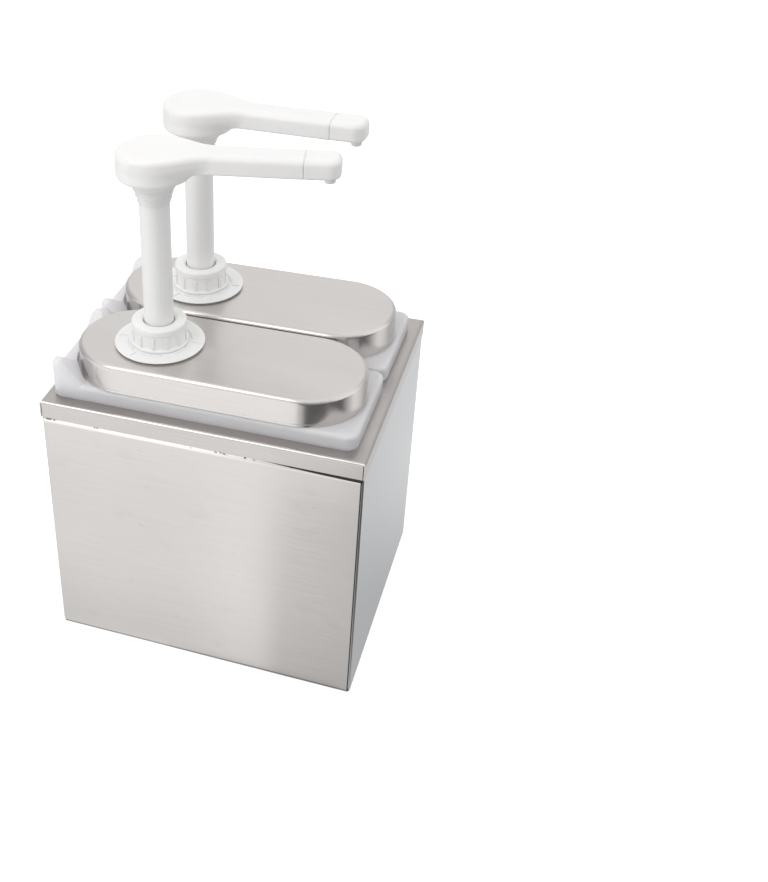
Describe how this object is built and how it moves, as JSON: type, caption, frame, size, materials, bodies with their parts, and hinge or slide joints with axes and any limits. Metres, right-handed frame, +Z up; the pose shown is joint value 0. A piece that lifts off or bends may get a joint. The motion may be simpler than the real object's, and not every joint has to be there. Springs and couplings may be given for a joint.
{
  "type": "condiment pump dispenser",
  "caption": "Countertop sauce station: steel box stand, lift-out translucent jars side by side under obround steel lids, each with a spring-return plastic pump and swivelling spout.",
  "frame": {"origin": "centre of the stand's underside, on the counter", "axes": "+X along the jars towards the spouts' ends, +Y across the stand away from the front panel, +Z up"},
  "size_m": [0.23, 0.19, 0.3837],
  "materials": {
    "steel": "fine brushed stainless",
    "jar_plastic": "translucent, satin",
    "white_plastic": "moulded, semi-gloss",
    "clear_plastic": "natural, translucent",
    "gasket": "silicone",
    "ball_steel": "polished stainless"
  },
  "bodies": {
    "stand": {"base_plate": "steel", "wall_wrap": "steel", "front_panel": "steel", "top_frame": "steel"},
    "jar_front": {"jar_front": "jar_plastic"},
    "lid_front": {"lid_front": "steel", "lid_gasket_front": "gasket", "flange_base_front": "white_plastic", "collar_front": "white_plastic", "lock_nut_front": "white_plastic", "cylinder_front": "clear_plastic", "guide_front": "white_plastic", "foot_valve_front": "white_plastic", "dip_tube_front": "clear_plastic", "spring_front": "ball_steel"},
    "plunger_front": {"piston_front": "white_plastic", "piston_seal_front": "gasket"},
    "head_front": {"stem_front": "white_plastic", "head_front": "white_plastic", "nozzle_tip_front": "white_plastic"},
    "lower_ball_front": {"lower_ball_front": "ball_steel"},
    "upper_ball_front": {"upper_ball_front": "ball_steel"},
    "jar_rear": {"jar_rear": "jar_plastic"},
    "lid_rear": {"lid_rear": "steel", "lid_gasket_rear": "gasket", "flange_base_rear": "white_plastic", "collar_rear": "white_plastic", "lock_nut_rear": "white_plastic", "cylinder_rear": "clear_plastic", "guide_rear": "white_plastic", "foot_valve_rear": "white_plastic", "dip_tube_rear": "clear_plastic", "spring_rear": "ball_steel"},
    "plunger_rear": {"piston_rear": "white_plastic", "piston_seal_rear": "gasket"},
    "head_rear": {"stem_rear": "white_plastic", "head_rear": "white_plastic", "nozzle_tip_rear": "white_plastic"},
    "lower_ball_rear": {"lower_ball_rear": "ball_steel"},
    "upper_ball_rear": {"upper_ball_rear": "ball_steel"}
  },
  "joints": [
    {"name": "jar_front_lift", "type": "slide", "parent": "stand", "child": "jar_front", "axis": [0, 0, 1], "range_m": [0, 0.21]},
    {"name": "lid_front_lift", "type": "slide", "parent": "jar_front", "child": "lid_front", "axis": [0, 0, 1], "range_m": [0, 0.225]},
    {"name": "plunger_front_stroke", "type": "slide", "parent": "lid_front", "child": "plunger_front", "axis": [0, 0, 1], "range_m": [-0.086, 0], "stiffness_N_per_m": 120, "springref_m": 0.06, "deforming": ["spring_front"]},
    {"name": "head_front_swivel", "type": "hinge", "parent": "plunger_front", "child": "head_front", "pos_m": [-0.044, -0.0425, 0.3], "axis": [0, 0, 1], "range_deg": [-200, 8]},
    {"name": "lower_ball_front_lift", "type": "slide", "parent": "lid_front", "child": "lower_ball_front", "axis": [0, 0, 1], "range_m": [0, 0.003]},
    {"name": "upper_ball_front_lift", "type": "slide", "parent": "plunger_front", "child": "upper_ball_front", "axis": [0, 0, 1], "range_m": [0, 0.0025]},
    {"name": "jar_rear_lift", "type": "slide", "parent": "stand", "child": "jar_rear", "axis": [0, 0, 1], "range_m": [0, 0.21]},
    {"name": "lid_rear_lift", "type": "slide", "parent": "jar_rear", "child": "lid_rear", "axis": [0, 0, 1], "range_m": [0, 0.225]},
    {"name": "plunger_rear_stroke", "type": "slide", "parent": "lid_rear", "child": "plunger_rear", "axis": [0, 0, 1], "range_m": [-0.086, 0], "stiffness_N_per_m": 120, "springref_m": 0.06, "deforming": ["spring_rear"]},
    {"name": "head_rear_swivel", "type": "hinge", "parent": "plunger_rear", "child": "head_rear", "pos_m": [-0.044, 0.0425, 0.3], "axis": [0, 0, 1], "range_deg": [-10, 192]},
    {"name": "lower_ball_rear_lift", "type": "slide", "parent": "lid_rear", "child": "lower_ball_rear", "axis": [0, 0, 1], "range_m": [0, 0.003]},
    {"name": "upper_ball_rear_lift", "type": "slide", "parent": "plunger_rear", "child": "upper_ball_rear", "axis": [0, 0, 1], "range_m": [0, 0.0025]}
  ]
}
